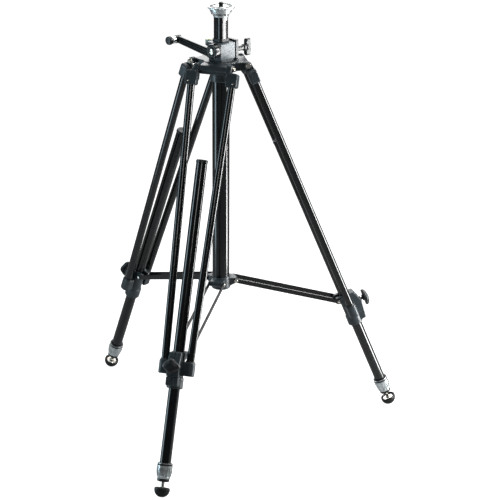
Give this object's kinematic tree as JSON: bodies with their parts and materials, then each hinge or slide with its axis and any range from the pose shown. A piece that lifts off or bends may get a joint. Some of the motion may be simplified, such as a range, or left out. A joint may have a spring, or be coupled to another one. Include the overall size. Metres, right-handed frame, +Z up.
{
  "type": "studio tripod",
  "caption": "Studio camera tripod with twin-shank telescoping legs, a sliding brace hub, a geared rising centre column with a folding crank, and a round plate for a head.",
  "frame": {"origin": "on the floor, at the centre of the box round the tripod standing with its legs spread", "axes": "+Z up along the centre column; -Y towards the front leg; +X to the right of the front leg seen from outside"},
  "size_m": [0.691, 0.6027, 0.9299],
  "materials": {
    "anodised_black": "gloss black anodised tube",
    "casting_grey": "matte dark grey enamelled die casting",
    "satin_alloy": "satin",
    "steel_bright": "zinc plated",
    "plastic_black": "fine moulded texture",
    "rubber_black": "satin",
    "brass": "turned",
    "level_vial": "clear vial with green fluid"
  },
  "bodies": {
    "frame": {"shoulder": "casting_grey", "column_sleeve": "anodised_black", "sleeve_plug": "plastic_black", "gear_housing": "casting_grey", "housing_cover": "casting_grey", "column_bush": "plastic_black", "spirit_level": "level_vial", "lock_shoe": "brass", "front_hinge_bolt": "steel_bright", "left_hinge_bolt": "steel_bright", "right_hinge_bolt": "steel_bright"},
    "column": {"centre_column": "anodised_black", "column_rack": "steel_bright", "top_plate": "satin_alloy", "mount_screw": "steel_bright"},
    "pinion": {"pinion_shaft": "steel_bright"},
    "crank": {"crank_arm": "casting_grey"},
    "grip": {"crank_grip": "plastic_black"},
    "column_knob": {"column_lock_knob": "plastic_black"},
    "hub": {"brace_hub": "casting_grey"},
    "front_leg": {"front_upper_clamp_left": "casting_grey", "front_upper_clamp_right": "casting_grey", "front_shank_tube_left": "anodised_black", "front_shank_tube_right": "anodised_black", "front_lock_casting": "casting_grey"},
    "left_leg": {"left_upper_clamp_left": "casting_grey", "left_upper_clamp_right": "casting_grey", "left_shank_tube_left": "anodised_black", "left_shank_tube_right": "anodised_black", "left_lock_casting": "casting_grey"},
    "right_leg": {"right_upper_clamp_left": "casting_grey", "right_upper_clamp_right": "casting_grey", "right_shank_tube_left": "anodised_black", "right_shank_tube_right": "anodised_black", "right_lock_casting": "casting_grey"},
    "front_brace": {"front_brace_bar_left": "anodised_black", "front_brace_bar_right": "anodised_black"},
    "left_brace": {"left_brace_bar_left": "anodised_black", "left_brace_bar_right": "anodised_black"},
    "right_brace": {"right_brace_bar_left": "anodised_black", "right_brace_bar_right": "anodised_black"},
    "front_slide": {"front_slide_tube": "anodised_black", "front_tube_cap": "plastic_black", "front_foot_spike": "steel_bright"},
    "front_knob": {"front_lock_knob": "plastic_black"},
    "front_collar": {"front_foot_collar": "satin_alloy"},
    "front_pad": {"front_foot_pad": "rubber_black"},
    "left_slide": {"left_slide_tube": "anodised_black", "left_tube_cap": "plastic_black", "left_foot_spike": "steel_bright"},
    "left_knob": {"left_lock_knob": "plastic_black"},
    "left_collar": {"left_foot_collar": "satin_alloy"},
    "left_pad": {"left_foot_pad": "rubber_black"},
    "right_slide": {"right_slide_tube": "anodised_black", "right_tube_cap": "plastic_black", "right_foot_spike": "steel_bright"},
    "right_knob": {"right_lock_knob": "plastic_black"},
    "right_collar": {"right_foot_collar": "satin_alloy"},
    "right_pad": {"right_foot_pad": "rubber_black"}
  },
  "joints": [
    {"name": "column_lift", "type": "slide", "parent": "frame", "child": "column", "axis": [0, 0, 1], "range_m": [-0.04, 0.36]},
    {"name": "pinion_turn", "type": "hinge", "parent": "frame", "child": "pinion", "pos_m": [0.01386, 0.0871, 0.8367], "axis": [0.5, 0.866, 0], "range_deg": [-480, 4200]},
    {"name": "crank_swing", "type": "hinge", "parent": "frame", "child": "crank", "pos_m": [0.01386, 0.0871, 0.8367], "axis": [0.5, 0.866, 0], "range_deg": [0, 170]},
    {"name": "grip_spin", "type": "hinge", "parent": "crank", "child": "grip", "pos_m": [-0.10592, 0.09852, 0.84182], "axis": [0.5, 0.866, 0], "continuous": true},
    {"name": "column_lock", "type": "hinge", "parent": "frame", "child": "column_knob", "pos_m": [0.035, 0.15573, 0.825], "axis": [0.5, 0.866, 0], "range_deg": [-180, 20]},
    {"name": "front_leg_fold", "type": "hinge", "parent": "frame", "child": "front_leg", "pos_m": [0, 0.0464, 0.80532], "axis": [1, 0, 0], "range_deg": [0, 22.8]},
    {"name": "left_leg_fold", "type": "hinge", "parent": "frame", "child": "left_leg", "pos_m": [-0.04217, 0.11945, 0.80532], "axis": [-0.5, -0.866, 0], "range_deg": [0, 22.8]},
    {"name": "right_leg_fold", "type": "hinge", "parent": "frame", "child": "right_leg", "pos_m": [0.04217, 0.11945, 0.80532], "axis": [-0.5, 0.866, 0], "range_deg": [0, 22.8]},
    {"name": "hub_slide", "type": "slide", "parent": "frame", "child": "hub", "axis": [0, 0, 1], "range_m": [0, 0.13189]},
    {"name": "front_brace_swing", "type": "hinge", "parent": "hub", "child": "front_brace", "pos_m": [0, 0.0651, 0.3287], "axis": [1, 0, 0], "range_deg": [0, 73.46]},
    {"name": "left_brace_swing", "type": "hinge", "parent": "hub", "child": "left_brace", "pos_m": [-0.02598, 0.1101, 0.3287], "axis": [-0.5, -0.866, 0], "range_deg": [0, 73.46]},
    {"name": "right_brace_swing", "type": "hinge", "parent": "hub", "child": "right_brace", "pos_m": [0.02598, 0.1101, 0.3287], "axis": [-0.5, 0.866, 0], "range_deg": [0, 73.46]},
    {"name": "front_leg_extend", "type": "slide", "parent": "front_leg", "child": "front_slide", "axis": [0, -0.3875, -0.9219], "range_m": [-0.12, 0.37]},
    {"name": "front_leg_lock", "type": "hinge", "parent": "front_leg", "child": "front_knob", "pos_m": [0, -0.22531, 0.26217], "axis": [0, -0.9219, 0.3875], "range_deg": [-20, 180]},
    {"name": "front_collar_turn", "type": "hinge", "parent": "front_slide", "child": "front_collar", "pos_m": [0, -0.27136, 0.04939], "axis": [0, -0.3875, -0.9219], "range_deg": [0, 720]},
    {"name": "front_pad_retract", "type": "slide", "parent": "front_slide", "child": "front_pad", "axis": [0, 0.3875, 0.9219], "range_m": [0, 0.00901]},
    {"name": "left_leg_extend", "type": "slide", "parent": "left_leg", "child": "left_slide", "axis": [-0.3356, 0.1938, -0.9219], "range_m": [-0.12, 0.37]},
    {"name": "left_leg_lock", "type": "hinge", "parent": "left_leg", "child": "left_knob", "pos_m": [-0.27748, 0.25531, 0.26217], "axis": [-0.7984, 0.4609, 0.3875], "range_deg": [-20, 180]},
    {"name": "left_collar_turn", "type": "hinge", "parent": "left_slide", "child": "left_collar", "pos_m": [-0.31737, 0.27833, 0.04939], "axis": [-0.3356, 0.1938, -0.9219], "range_deg": [0, 720]},
    {"name": "left_pad_retract", "type": "slide", "parent": "left_slide", "child": "left_pad", "axis": [0.3356, -0.1938, 0.9219], "range_m": [0, 0.00901]},
    {"name": "right_leg_extend", "type": "slide", "parent": "right_leg", "child": "right_slide", "axis": [0.3356, 0.1938, -0.9219], "range_m": [-0.12, 0.37]},
    {"name": "right_leg_lock", "type": "hinge", "parent": "right_leg", "child": "right_knob", "pos_m": [0.27748, 0.25531, 0.26217], "axis": [0.7984, 0.4609, 0.3875], "range_deg": [-20, 180]},
    {"name": "right_collar_turn", "type": "hinge", "parent": "right_slide", "child": "right_collar", "pos_m": [0.31737, 0.27833, 0.04939], "axis": [0.3356, 0.1938, -0.9219], "range_deg": [0, 720]},
    {"name": "right_pad_retract", "type": "slide", "parent": "right_slide", "child": "right_pad", "axis": [-0.3356, -0.1938, 0.9219], "range_m": [0, 0.00901]}
  ],
  "couplings": [
    {"joint": "pinion_turn", "follows": "column_lift", "rad_per_m": 200},
    {"joint": "left_leg_fold", "follows": "front_leg_fold", "ratio": 1},
    {"joint": "right_leg_fold", "follows": "front_leg_fold", "ratio": 1},
    {"joint": "hub_slide", "follows": "front_leg_fold", "m_per_rad": 0.3314},
    {"joint": "front_brace_swing", "follows": "front_leg_fold", "ratio": 3.2218},
    {"joint": "left_brace_swing", "follows": "front_leg_fold", "ratio": 3.2218},
    {"joint": "right_brace_swing", "follows": "front_leg_fold", "ratio": 3.2218},
    {"joint": "front_pad_retract", "follows": "front_collar_turn", "m_per_rad": 0.0007162},
    {"joint": "left_pad_retract", "follows": "left_collar_turn", "m_per_rad": 0.0007162},
    {"joint": "right_pad_retract", "follows": "right_collar_turn", "m_per_rad": 0.0007162}
  ]
}
